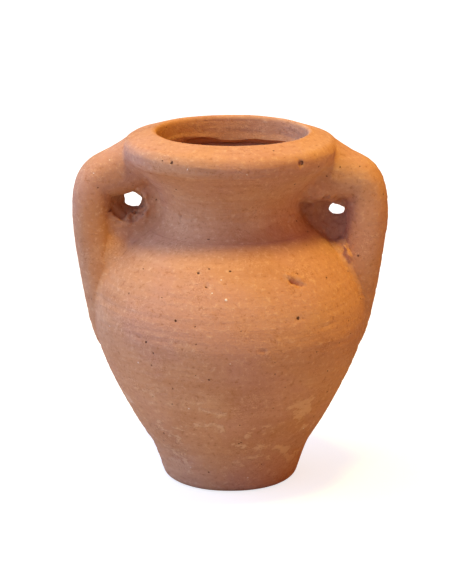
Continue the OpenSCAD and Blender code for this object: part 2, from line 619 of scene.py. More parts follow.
@dataclass
class Vessel:
    """The thrown pot: foot, belly, neck and rim.

    Attributes:
        wall: Thickness of the thrown wall in mm.
        floor: Thickness of the floor.
        base_r: Radius of the flat face of the foot.
        base_edge_r: Rounding of the foot's lower edge.
        foot_lean: Lean of the foot's side in degrees.
        waist_lean: Lean of the wall where foot and belly join.
        belly_z: Height of the widest place.
        shoulder_lean: Lean of the shoulder where it meets the neck.
        neck_base_r: Outer radius there.
        neck_r: Narrowest outer radius.
        neck_z: Height of the narrowest place.
        crease_lean: Lean of the neck where it meets the rim.
        mouth_r: Radius of the mouth.
        mouth_aside: How far the mouth sits off the axis along X.
        lip_r: Rounding of the lip.
        rim_slope: Slope of the rim's top in degrees.
        ledge: How far the ledge inside the mouth juts out, and its height on the rim.
        undercut: How far back and down the hollow under the ledge goes.
        spacing: Distance between points on the outside.
        steps: Stretches round the wheel.
    """

    wall: float = 4.3
    floor: float = 6.0
    base_r: float = 20.2
    base_edge_r: float = 3.0
    foot_lean: float = 20.0
    waist_lean: float = 34.0
    belly_z: float = 57.0
    shoulder_lean: float = 54.0
    neck_base_r: float = 27.9
    neck_r: float = 24.0
    neck_z: float = 94.5
    crease_lean: float = 48.0
    mouth_r: float = 25.2
    mouth_aside: float = 0.7
    lip_r: float = 1.3
    rim_slope: float = 17.0
    ledge: Point = (0.4, 2.3)
    undercut: Point = (1.6, 0.9)
    spacing: float = 0.66
    steps: int = 400
    foot_h: float = field(init=False)
    waist_r: float = field(init=False)
    belly_r: float = field(init=False)
    neck_base_z: float = field(init=False)
    crease_r: float = field(init=False)
    rim_z: float = field(init=False)
    rim_r: float = field(init=False)
    pot_h: float = field(init=False)

    def __post_init__(self) -> None:
        """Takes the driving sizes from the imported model."""
        foot, belly, neck, rim = (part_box(n) for n in ("foot", "belly", "neck", "rim"))
        self.foot_h = foot[1].z / MM
        self.waist_r = foot[1].x / MM
        self.belly_r = belly[1].x / MM
        self.neck_base_z = neck[0].z / MM
        self.crease_r = neck[1].x / MM
        self.rim_z = rim[0].z / MM
        self.rim_r = rim[1].x / MM
        self.pot_h = rim[1].z / MM

    def level_wall(self, lean: float) -> float:
        """Wall thickness measured level, where the wall leans by lean degrees."""
        return self.wall / math.cos(math.radians(lean))

    def foot_line(self) -> list[Point]:
        """The outside of the foot, from the edge of its flat face up.

        Returns:
            The points, going up.
        """
        edge = arc((self.base_r, self.base_edge_r), self.base_edge_r, -90, -self.foot_lean, 8)
        start = np.array(edge[-1])
        waist = np.array([self.waist_r, self.foot_h])
        pull = 0.3 * self.foot_h
        above = start + leaning(self.foot_lean, pull)
        below = waist - leaning(self.waist_lean, pull)
        return edge + bezier(start, above, below, waist, 16)

    def belly_line(self, low_in: float, mid_in: float, top_in: float) -> list[Point]:
        """The belly's outline, set in level by three distances.

        Args:
            low_in: Distance at the waist.
            mid_in: Distance at the widest place.
            top_in: Distance at the foot of the neck.

        Returns:
            The points, going up.
        """
        a = np.array([self.waist_r - low_in, self.foot_h])
        m = np.array([self.belly_r - mid_in, self.belly_z])
        b = np.array([self.neck_base_r - top_in, self.neck_base_z])
        low, high = self.belly_z - self.foot_h, self.neck_base_z - self.belly_z
        lower = bezier(a, a + leaning(self.waist_lean, 0.29 * low), m - (0, 0.26 * low), m, 40)
        pull = leaning(180 - self.shoulder_lean, 0.46 * high)
        upper = bezier(m, m + (0, 0.41 * high), b + pull, b, 40)
        return [tuple(a)] + lower + upper

    def neck_line(self, low_in: float, mid_in: float, top_in: float) -> list[Point]:
        """The neck's outline, set in level by three distances.

        Args:
            low_in: Distance at the foot of the neck.
            mid_in: Distance at the narrowest place.
            top_in: Distance at the crease under the rim.

        Returns:
            The points, going up.
        """
        a = np.array([self.neck_base_r - low_in, self.neck_base_z])
        m = np.array([self.neck_r - mid_in, self.neck_z])
        b = np.array([self.crease_r - top_in, self.rim_z])
        low, high = 0.38 * (self.neck_z - self.neck_base_z), 0.42 * (self.rim_z - self.neck_z)
        lower = bezier(a, a + leaning(-self.shoulder_lean, low), m - (0, low), m, 16)
        upper = bezier(m, m + (0, high), b - leaning(self.crease_lean, high), b, 30)
        return [tuple(a)] + lower + upper

    def rim_line(self) -> list[Point]:
        """The rim's outline, from the crease over the outside and the lip to the mouth.

        Returns:
            The points, going over the rim.
        """
        crease = np.array([self.crease_r, self.rim_z])
        rim_h = self.pot_h - self.rim_z
        side = np.array([self.rim_r, self.pot_h - 0.58 * rim_h])
        top_r = self.rim_r - 2.4
        lip = (self.mouth_r + self.lip_r, self.pot_h - self.lip_r)
        drop = (top_r - lip[0]) * math.tan(math.radians(self.rim_slope))
        corner = np.array([top_r, self.pot_h - drop])
        return (
            [tuple(crease)]
            + bezier(crease, crease + (1.3, 1.0), side - (0, 1.6), side, 12)
            + bezier(side, side + (0, 1.8), corner + (1.4, -0.43), corner, 12)
            + arc(lip, self.lip_r, 90 - self.rim_slope, 190, 10)
        )

    def outside(self) -> list[Point]:
        """The whole outer surface from the foot to the lip."""
        upper = self.neck_line(0, 0, 0)[1:] + self.rim_line()[1:]
        return self.foot_line() + self.belly_line(0, 0, 0)[1:] + upper

    def build_foot(self) -> bpy.types.Object:
        """The foot, with the flat face below and the floor of the pot above.

        Returns:
            The piece.
        """
        inner = np.array([self.waist_r - self.level_wall(self.waist_lean), self.foot_h])
        pull, floor = (self.base_r - 6, self.floor), (self.base_r - 9, self.floor)
        bowl = bezier(inner, inner - leaning(self.waist_lean, 5), pull, floor, 12)
        face = evened([(0, 0), (self.base_r, 0)], 1.2)
        side = evened(self.foot_line(), self.spacing)
        top = evened([side[-1], tuple(inner)], 1.2)
        inside = evened([tuple(inner)] + bowl + [(0, self.floor)], 1.5)
        return turned("foot_thrown", face + side[1:] + top[1:] + inside[1:], self.steps // 2)

    def build_belly(self) -> bpy.types.Object:
        """The belly and shoulder.

        Returns:
            The piece.
        """
        low, top = self.level_wall(self.waist_lean), self.level_wall(self.shoulder_lean)
        outer = evened(self.belly_line(0, 0, 0), self.spacing)
        inner = evened(self.belly_line(low, self.wall, top), 2.4)[::-1]
        return turned("belly_thrown", outer + inner, self.steps)

    def build_neck(self) -> bpy.types.Object:
        """The neck.

        Returns:
            The piece.
        """
        low, top = self.level_wall(self.shoulder_lean), self.level_wall(self.crease_lean)
        outer = evened(self.neck_line(0, 0, 0), self.spacing)
        inner = evened(self.neck_line(low, self.wall, top), 0.9)[::-1]
        return turned("neck_thrown", outer + inner, self.steps)

    def build_rim(self) -> bpy.types.Object:
        """The rolled rim, from the crease outside to the ledge inside the mouth.

        The ledge's underside is left wavy by the fingers, and the mouth sits a little
        to one side.

        Returns:
            The piece.
        """
        around = evened(self.rim_line(), 0.5)
        ledge = (self.mouth_r - self.ledge[0], self.rim_z + self.ledge[1])
        inner_low = (self.crease_r - self.level_wall(self.crease_lean), self.rim_z)
        hollow = (ledge[0] + self.undercut[0], ledge[1] - self.undercut[1])
        inside = evened([around[-1], ledge], 0.5)
        below = evened([ledge, hollow, inner_low], 0.5)
        under = evened([inner_low, around[0]], 1.2)
        rim = turned("rim_thrown", around + inside[1:] + below[1:] + under[1:-1], self.steps)
        co = coords(rim)
        r = np.hypot(co[:, 0], co[:, 1])
        height = co[:, 2] - self.rim_z
        wavy = smooth_share((inner_low[0] - r) / 1.5) * smooth_share((5 - height) / 3)
        co[:, 2] += 1.6 * wavy * ClayNoise(11.0, 71)(co)
        height = co[:, 2] - self.rim_z
        mouth = smooth_share((29 - r) / 4) * smooth_share((height - 1) / 3)
        co[:, 0] += self.mouth_aside * mouth
        set_coords(rim, co)
        return rim

    def on_skin(self, turn: float, height: float) -> Place:
        """Finds a place on the outside.

        Args:
            turn: Degrees round the pot from the front, towards +X.
            height: Height above the foot in mm.

        Returns:
            The place in mm.
        """
        line = np.array(evened(self.outside(), 1.0))
        r = line[int(np.argmin(np.abs(line[:, 1] - height))), 0]
        angle = math.radians(turn)
        return (r * math.sin(angle), -r * math.cos(angle), height)

    def specks(self) -> tuple[Speck, ...]:
        """The larger lime specks, and the pits that get painted shade, from the turn, height and
        radius of each.

        Returns:
            The specks, lime first.
        """
        lime = (
            (-4.2, 78.3, 0.3), (-7.9, 74.6, 0.28), (-1.6, 72.7, 0.5), (8.1, 59.8, 0.28),
            (-41.9, 49.0, 0.35),
        )
        # Pits that get painted shade, a dark colour over the pits pressed into the clay.
        pits = (
            (39.8, 114.6, 1.0), (-31.8, 115.4, 0.5), (-47.0, 100.5, 0.5), (-16.1, 79.8, 0.4),
            (0.2, 80.8, 0.35), (-10.9, 76.4, 0.45), (-22.6, 65.7, 0.4), (-35.9, 57.4, 0.45),
            (29.3, 66.0, 0.5),
        )
        pale = tuple(Speck(self.on_skin(turn, z), r) for turn, z, r in lime)
        return pale + tuple(Speck(self.on_skin(turn, z), r, pale=False) for turn, z, r in pits)

    def build_skin(
        self, name: str, outer_in: float, inner_in: float, steps: int
    ) -> bpy.types.Object:
        """A thin shell inside the pot's wall, or with inner_in past the axis a solid one.

        Args:
            name: Name of the new piece.
            outer_in: Distance from the pot's surface to the shell's outer side.
            inner_in: Distance to its inner side, or 0 for a solid up to the axis.
            steps: Stretches round the wheel.

        Returns:
            The piece.
        """
        line = np.array(evened(self.outside(), 1.0))
        run = np.gradient(line, axis=0)
        run /= np.linalg.norm(run, axis=1)[:, None]
        inward = np.stack([-run[:, 1], run[:, 0]], axis=1)
        outer = [tuple(p) for p in line + outer_in * inward]
        if inner_in:
            inner = [tuple(p) for p in line + inner_in * inward][::-1]
            return turned(name, outer + inner, steps)
        top, bottom = outer[-1], outer[0]
        return turned(name, [(0, bottom[1])] + outer + [(0, top[1])], steps)


# ---------------------------------------------------------------- pulled handles


@dataclass(frozen=True)
class Lump:
    """A lump of clay that is pressed in at a joint.

    Attributes:
        place: Its middle on the right-hand side, in mm.
        radii: Its half sizes along X, Y and Z.
        lean: Degrees that it leans about Y.
    """

    place: Place
    radii: Place
    lean: float = 0.0


@dataclass(frozen=True)
class Ring:
    """One ring of a thumb hole that is bored through the clay along Y.

    Attributes:
        y: How far back it is, in mm.
        place: Its middle on the right-hand side, as X and Z.
        radii: Its half sizes along X and Z.
        lean: Degrees that it leans about Y.
    """

    y: float
    place: Point
    radii: Point
    lean: float = 0.0


@dataclass
class Handle:
    """One pulled handle with the clay at its two ends.

    Attributes:
        side: Which side of the pot it is on.
        vessel: The pot that it is stuck on.
        hands: Makes it uneven.
        thick: Thickness seen from the front, in mm.
        thick_top: Thickness where it leaves the rim.
        wide: Width seen from the side.
        mid_z: Height of its straight middle.
        top_drop: Drop of its top end below the lip.
        rings: Rings along each half.
        sides: Points round its section.
        squareness: Below 1, its section fills out towards an oblong.
        blend_high: How far the clay reaches under the top, in mm.
        blend_low: How far the clay reaches round the root.
        blend_rim: How far the clay reaches beside the rim.
        smoothing: Passes of smoothing over the fresh clay.
        part_z: Height at which the upper clay meets the lower.
        lumps: Clay pressed in before it is smoothed.
        bore: Rings of the hole that a thumb left between handle and neck, from the front.
        slits: Hollows where the clay did not close.
        crumbs: Crumbs of clay left at the hole.
    """

    side: Side
    vessel: Vessel
    hands: Hands
    thick: float = 13.7
    thick_top: float = 16.9
    wide: float = 19.0
    mid_z: float = 91.0
    top_drop: float = 9.7
    rings: int = 44
    sides: int = 72
    squareness: float = 0.82
    blend_high: float = 7.0
    blend_low: float = 6.0
    blend_rim: float = 2.4
    smoothing: int = 110
    part_z: float = 93.0
    lumps: tuple[Lump, ...] = ()
    bore: tuple[Ring, ...] = ()
    slits: tuple[Lump, ...] = ()
    crumbs: tuple[Lump, ...] = ()

    @property
    def label(self) -> str:
        """left or right."""
        return self.side.name.lower()

    def path(self) -> np.ndarray:
        """The middle line on the right-hand side, from the rim to the belly.

        Returns:
            X and Z of each ring's middle, one row each.
        """
        v = self.vessel
        start = np.array([v.rim_r - 6, v.pot_h - self.top_drop])
        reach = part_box("right_handle")[1].x / MM - self.thick / 2
        mid = np.array([reach, self.mid_z])
        end = np.array([v.belly_r - 7.8, v.belly_z - 7.2])
        upper = bezier(start, start + (12.4, -9.2), mid + (0, 18), mid, self.rings)
        lower = bezier(mid, mid - (0, 4), end + (4.2, 7.8), end, self.rings)
        return np.array([tuple(start)] + upper + lower)

    def build_strap(self) -> bpy.types.Object:
        """The whole strap with both ends, before it is fitted to the pot.

        A disc is drawn out into a straight column, and each ring of the column is then
        laid on the handle's middle line with the section that it has there.

        Returns:
            The strap.
        """
        deselect()
        bpy.ops.mesh.primitive_circle_add(vertices=self.sides, radius=1, fill_type="TRIFAN")
        obj = bpy.context.object
        obj.name = obj.data.name = f"{self.label}_handle_pulled"
        with editing(obj):
            draw_out([(0, 0, 1)] * (2 * self.rings))
        co = coords(obj)
        ring = np.rint(co[:, 2]).astype(int)
        radius = np.hypot(co[:, 0], co[:, 1])
        angle = np.arctan2(co[:, 1], co[:, 0])
        line = self.path()
        run = np.gradient(line, axis=0)
        run /= np.linalg.norm(run, axis=1)[:, None]
        away = np.stack([-run[:, 1], run[:, 0]], axis=1)
        top = 1 - smooth_share(np.arange(len(line)) / (0.78 * self.rings))
        half = (self.thick + (self.thick_top - self.thick) * top) / 2
        round_section = (np.cos(angle), np.sin(angle))
        across, along = (
            np.sign(c) * np.abs(c) ** self.squareness * radius for c in round_section
        )
        y = along * self.wide / 2
        flat = line[ring] + (across * half[ring])[:, None] * away[ring]
        set_coords(obj, np.stack([flat[:, 0] * self.side.value, y, flat[:, 1]], axis=1))
        face_outwards(obj)
        return obj

    def build_lumps(self, lumps: Sequence[Lump]) -> list[bpy.types.Object]:
        """Balls in the shape of lumps of clay, or of the hollows that they leave.

        Args:
            lumps: The lumps.

        Returns:
            One ball a lump.
        """
        made = []
        for lump in lumps:
            deselect()
            bpy.ops.mesh.primitive_ico_sphere_add(subdivisions=4, radius=1)
            ball = bpy.context.object
            bpy.ops.transform.resize(value=lump.radii)
            bpy.ops.object.transform_apply(location=False, rotation=False, scale=True)
            ball.rotation_euler = (0, math.radians(lump.lean) * self.side.value, 0)
            ball.location = (lump.place[0] * self.side.value, lump.place[1], lump.place[2])
            bpy.ops.object.transform_apply(location=True, rotation=True, scale=True)
            made.append(ball)
        return made

    def build_bore(self) -> bpy.types.Object:
        """The hole between handle and neck as a solid, to be cut from the clay.

        Returns:
            The solid.
        """
        deselect()
        bpy.ops.mesh.primitive_circle_add(vertices=48, radius=1, fill_type="NGON")
        cutter = bpy.context.object
        with editing(cutter):
            draw_out([(0, 0, 1)] * (len(self.bore) - 1))
        co = coords(cutter)
        laid = np.zeros_like(co)
        for row, (across, up, layer) in enumerate(co):
            ring = self.bore[int(round(layer))]
            lean = math.radians(ring.lean)
            a, b = across * ring.radii[0], up * ring.radii[1]
            x = ring.place[0] + a * math.cos(lean) - b * math.sin(lean)
            z = ring.place[1] + a * math.sin(lean) + b * math.cos(lean)
            laid[row] = (x * self.side.value, ring.y, z)
        set_coords(cutter, laid)
        face_outwards(cutter)
        return cutter

    def reach_of_clay(self, co: np.ndarray) -> np.ndarray:
        """How far the clay spreads from the joint.

        Args:
            co: Places in mm, one row each.

        Returns:
            The reach at each place in mm.
        """
        v = self.vessel
        beside_rim = smooth_share((co[:, 2] - (v.rim_z - 4)) / 5)
        low = smooth_share((v.neck_z - 2 - co[:, 2]) / 8)
        reach = self.blend_high * (1 - low) + self.blend_low * low
        return reach * (1 - beside_rim) + self.blend_rim * beside_rim

    def build_clay(self, strap: bpy.types.Object) -> bpy.types.Object:
        """The clay round both ends in one piece.

        A skin of the pot, the strap and the lumps are fused, and the fused surface is
        smoothed where pot and handle meet, which fills the corner as a thumb does. Away
        from the corner it lies just under the surfaces of pot and handle.

        Args:
            strap: The strap, already cut to the pot.

        Returns:
            The clay.
        """
        v = self.vessel
        skin = v.build_skin("clay_skin", 0.0, 2.4, 240)
        bisect(skin, (16 * self.side.value, 0, 0), (-self.side.value, 0, 0))
        bisect(skin, (0, 0, 44), (0, 0, -1))
        trunk = duplicate(strap, "clay_trunk")
        near_strap = BVHTree.FromObject(trunk, bpy.context.evaluated_depsgraph_get())
        clay = join([skin, trunk] + self.build_lumps(self.lumps), f"{self.label}_handle_clay")
        apply_modifier(clay, "REMESH", mode="VOXEL", voxel_size=0.5, use_smooth_shade=True)
        co = coords(clay)
        outline = np.array(evened(v.outside(), 1.0))
        flat = np.stack([np.hypot(co[:, 0], co[:, 1]), co[:, 2]], axis=1)
        to_pot = np.full(len(co), 99.0)
        for point in outline:
            to_pot = np.minimum(to_pot, np.hypot(flat[:, 0] - point[0], flat[:, 1] - point[1]))
        to_strap = np.array([near_strap.find_nearest(Vector(p), 12)[3] or 12.0 for p in co])
        near = 1.4 * (1 - np.hypot(to_pot, to_strap) / self.reach_of_clay(co))
        proud = 0.8
        fresh = co[np.minimum(to_pot, to_strap) > proud]
        tree = KDTree(len(fresh))
        for i, point in enumerate(fresh):
            tree.insert(point, i)
        tree.balance()
        from_fresh = np.array([tree.find(p)[2] for p in co])
        share = np.maximum(smooth_share(near), smooth_share(1.5 - from_fresh / 3.0))
        self.soften(clay, share, self.smoothing)
        self.open_gap(clay)
        tuck = 0.12
        set_coords(clay, coords(clay) - tuck * normals(clay))
        return clay

    def soften(self, clay: bpy.types.Object, share: np.ndarray, passes: int) -> None:
        """Smooths the clay where share is above 0.

        Args:
            clay: The clay.
            share: How much each point takes part, from 0 to 1.
            passes: Passes of smoothing.
        """
        clay.vertex_groups.clear()
        group = clay.vertex_groups.new(name="soft")
        levels = 20
        for level in range(1, levels + 1):
            chosen = np.nonzero(np.rint(share * levels) == level)[0]
            if len(chosen):
                group.add(chosen.tolist(), level / levels, "REPLACE")
        apply_modifier(clay, "SMOOTH", factor=0.5, iterations=passes, vertex_group="soft")

    def open_gap(self, clay: bpy.types.Object) -> None:
        """Bores the gap between handle and neck, and drops the crumbs of clay into it.

        Args:
            clay: The clay.
        """
        cutter = join([self.build_bore()] + self.build_lumps(self.slits), "gap")
        apply_modifier(clay, "BOOLEAN", object=cutter, operation="DIFFERENCE", solver="EXACT")
        near_cut = BVHTree.FromObject(cutter, bpy.context.evaluated_depsgraph_get())
        bpy.data.objects.remove(cutter)
        join([clay] + self.build_lumps(self.crumbs), clay.name)
        apply_modifier(clay, "REMESH", mode="VOXEL", voxel_size=0.45, use_smooth_shade=True)
        to_cut = np.array([near_cut.find_nearest(Vector(p), 6)[3] or 6.0 for p in coords(clay)])
        self.soften(clay, smooth_share(1.5 - to_cut / 1.6), 7)
        co = coords(clay)
        rough = smooth_share(1.6 - to_cut / 2.0)
        push = 0.55 * rough * ClayNoise(1.9, 83)(co) + 0.3 * rough * ClayNoise(4.5, 89)(co)
        set_coords(clay, co + push[:, None] * normals(clay))

    def split_clay(self, clay: bpy.types.Object) -> tuple[bpy.types.Object, bpy.types.Object]:
        """Cuts the clay into its two pieces.

        Args:
            clay: The clay.

        Returns:
            The part at the top of the handle and the part at its root.
        """
        s = self.side.value
        root = duplicate(clay, f"{self.label}_root_luting")
        clay.name = clay.data.name = f"{self.label}_top_luting"
        bisect(clay, (0, 0, self.part_z), (0, 0, -1))
        bisect(clay, (44.5 * s, 0, 101), (0.85 * s, 0, -0.5))
        bisect(root, (0, 0, self.part_z), (0, 0, 1))
        for piece in (clay, root):
            for way in (-1, 1):
                bisect(piece, (0, 19 * way, 0), (0, way, 0))
            keep_largest(piece)
        return clay, root

    def build(self, core: bpy.types.Object) -> dict[str, bpy.types.Object]:
        """Builds the handle and the clay at its ends.

        Args:
            core: A solid of the pot's inside that reaches into its wall.

        Returns:
            The pieces by the CAD node that each stands for.
        """
        strap = self.build_strap()
        apply_modifier(strap, "BOOLEAN", object=core, operation="DIFFERENCE", solver="EXACT")
        keep_largest(strap)
        clay = self.build_clay(strap)
        top, root = self.split_clay(clay)
        pieces = {
            f"{self.label}_handle": strap,
            f"{self.label}_handle_top_luting": top,
            f"{self.label}_handle_root_luting": root,
        }
        for piece in pieces.values():
            self.hands.shape(piece)
        return pieces


# ---------------------------------------------------------------- finishes


def linear(hex_colour: str) -> tuple[float, float, float, float]:
    """Turns an sRGB colour to linear light.

    Args:
        hex_colour: The colour as # and six digits.

    Returns:
        Red, green, blue and full alpha.
    """
    values = [int(hex_colour.lstrip("#")[i : i + 2], 16) / 255 for i in (0, 2, 4)]
    lit = [c / 12.92 if c <= 0.04045 else ((c + 0.055) / 1.055) ** 2.4 for c in values]
    return (lit[0], lit[1], lit[2], 1.0)


def add_node(
    tree: bpy.types.NodeTree, kind: str, settings: dict | None = None, **links: Socket
) -> bpy.types.Node:
    """Adds a shader node, sets it up and links its inputs.

    Args:
        tree: The nodes of the material or the world.
        kind: Type of the node.
        settings: Plain values, by the name or number of an input or the name of a setting.
        **links: Sockets to link, by the input's name, or by n and its number.

    Returns:
        The node.
    """
    node = tree.nodes.new(kind)
    for name, value in (settings or {}).items():
        if isinstance(name, int) or name in node.inputs:
            node.inputs[name].default_value = value
        else:
            setattr(node, name, value)
    for name, socket in links.items():
        target = int(name[1:]) if name[1:].isdigit() else name
        tree.links.new(socket, node.inputs[target])
    return node


class Coats:
    """Colour and relief of a material, laid on in coats.

    Attributes:
        material: The material.
        place: Socket with the place on the object, in metres.
        body: The colour under the first coat.
        colour: Socket with the colour so far.
        relief: Socket with the height of the surface so far, in mm.
    """

    def __init__(self, name: str, body: str) -> None:
        """Starts with one plain colour and a level surface.

        Args:
            name: Name of the material.
            body: Its colour.
        """
        self.material = bpy.data.materials.new(name)
        self.material.use_nodes = True
        self.place = self.node("ShaderNodeTexCoord").outputs["Object"]
        self.body = linear(body)
        self.colour: Socket | None = None
        self.relief: Socket | None = None

    def node(self, kind: str, settings: dict | None = None, **links: Socket) -> bpy.types.Node:
        """Adds a node to the material."""
        return add_node(self.material.node_tree, kind, settings, **links)

    def clouds(
        self, size: float, detail: float = 3.0, stretch: float = 1.0, rough: float = 0.55
    ) -> Socket:
        """Cloudy patches, from 0 to 1.

        Args:
            size: Height of a patch in mm.
            detail: Finer octaves in it.
            stretch: How much longer than high the patches are.
            rough: Share of each finer octave.

        Returns:
            The socket.
        """
        level = (1 / stretch, 1 / stretch, 1.0)
        at = self.node("ShaderNodeVectorMath", {"operation": "MULTIPLY", 1: level}, n0=self.place)
        settings = {"Scale": 1 / (size * MM), "Detail": detail, "Roughness": rough}
        return self.node("ShaderNodeTexNoise", settings, Vector=at.outputs[0]).outputs["Fac"]

    def scattered(self, apart: float, radius: float, share: float) -> Socket:
        """Grains scattered in the clay, 1 inside a grain and 0 between them.

        Args:
            apart: Distance between grains in mm, if all are kept.
            radius: Radius of a grain in mm.
            share: Share of the grains that is kept.

        Returns:
            The socket.
        """
        scale = 1 / (apart * MM)
        waves = {"Scale": 2.5 * scale, "Detail": 2.0}
        bent = self.node("ShaderNodeTexNoise", waves, Vector=self.place)
        reach = {"operation": "SCALE", "Scale": 0.35 * apart * MM}
        aside = self.node("ShaderNodeVectorMath", reach, n0=bent.outputs["Color"]).outputs[0]
        at = self.node("ShaderNodeVectorMath", {"operation": "ADD"}, n0=self.place, n1=aside)
        cells = self.node("ShaderNodeTexVoronoi", {"Scale": scale}, Vector=at.outputs[0])
        edges = {"From Min": 1.25 * radius / apart, "From Max": 0.75 * radius / apart}
        grain = self.node("ShaderNodeMapRange", edges, Value=cells.outputs["Distance"])
        draw = self.node("ShaderNodeSeparateColor", n0=cells.outputs["Color"]).outputs[0]
        kept = self.node("ShaderNodeMath", {"operation": "LESS_THAN", 1: share}, n0=draw)
        both = {"n0": grain.outputs["Result"], "n1": kept.outputs[0]}
        return self.node("ShaderNodeMath", {"operation": "MULTIPLY"}, **both).outputs[0]

    def from_speck(self, speck: Speck) -> Socket:
        """Distance from a speck, made ragged and so raised by about a half.

        Args:
            speck: The speck.

        Returns:
            The socket, in the speck's own radii.
        """
        radius = speck.radius * MM
        middle = tuple(c * MM for c in speck.place)
        rags = {"Scale": 0.9 / radius, "Detail": 2.0}
        ragged = self.node("ShaderNodeTexNoise", rags, Vector=self.place).outputs["Fac"]
        settings = {"operation": "DISTANCE", 1: middle}
        away = self.node("ShaderNodeVectorMath", settings, n0=self.place).outputs["Value"]
        settings = {"operation": "MULTIPLY_ADD", 1: 1 / radius}
        return self.node("ShaderNodeMath", settings, n0=away, n2=ragged).outputs[0]

    def from_level(self, level: float) -> Socket:
        """Distance in height from a level.

        Args:
            level: Height above the foot in mm.

        Returns:
            The socket, in metres.
        """
        z = self.node("ShaderNodeSeparateXYZ", n0=self.place).outputs["Z"]
        above = self.node("ShaderNodeMath", {"operation": "SUBTRACT", 1: level * MM}, n0=z).outputs[0]
        return self.node("ShaderNodeMath", {"operation": "ABSOLUTE"}, n0=above).outputs[0]

    def lay(
        self, pattern: Socket, low: float, high: float, colour: str, strength: float,
        within: tuple[Socket, float, float] | None = None, height: float = 0.0, relief: float = 0.0,
    ) -> None:
        """Lays a coat of colour over the colour so far, and may raise the surface.

        Args:
            pattern: Socket with the pattern.
            low: Value of the pattern at which the colour starts.
            high: Value from which it is at its strongest.
            colour: The colour.
            strength: How much it covers there, from 0 to 1.
            within: A second pattern with its own low and high, outside which the coat ends.
            height: Height of the coat in mm.
            relief: Height in mm by which the pattern itself raises the surface.
        """
        shares = []
        stretches = [(pattern, low, high, strength)]
        if within:
            stretches.append((*within, 1.0))
        for source, start, end, top in stretches:
            settings = {"interpolation_type": "SMOOTHSTEP"}
            settings |= {"From Min": start, "From Max": end, "To Max": top}
            shares.append(self.node("ShaderNodeMapRange", settings, Value=source).outputs["Result"])
        share = shares[0]
        if within:
            both = {"n0": shares[0], "n1": shares[1]}
            share = self.node("ShaderNodeMath", {"operation": "MULTIPLY"}, **both).outputs[0]
        settings = {"data_type": "RGBA", 6: self.body, 7: linear(colour)}
        under = {} if self.colour is None else {"n6": self.colour}
        self.colour = self.node("ShaderNodeMix", settings, n0=share, **under).outputs[2]
        for source, rise in ((share, height / strength), (pattern, relief)):
            if rise:
                settings = {"operation": "MULTIPLY_ADD", 1: rise, 2: 0.0}
                under = {} if self.relief is None else {"n2": self.relief}
                self.relief = self.node("ShaderNodeMath", settings, n0=source, **under).outputs[0]

    def finish(self, roughness: float, shine: float) -> bpy.types.Material:
        """Ties colour and relief to the shader.

        Args:
            roughness: Roughness of the surface.
            shine: Level of the faint shine that matt clay keeps.

        Returns:
            The material.
        """
        links = self.material.node_tree.links
        shader = self.material.node_tree.nodes["Principled BSDF"]
        shader.inputs["Roughness"].default_value = roughness
        shader.inputs["Specular IOR Level"].default_value = shine
        links.new(self.colour, shader.inputs["Base Color"])
        bump = self.node("ShaderNodeBump", {"Strength": 1.0, "Distance": MM}, Height=self.relief)
        links.new(bump.outputs["Normal"], shader.inputs["Normal"])
        return self.material


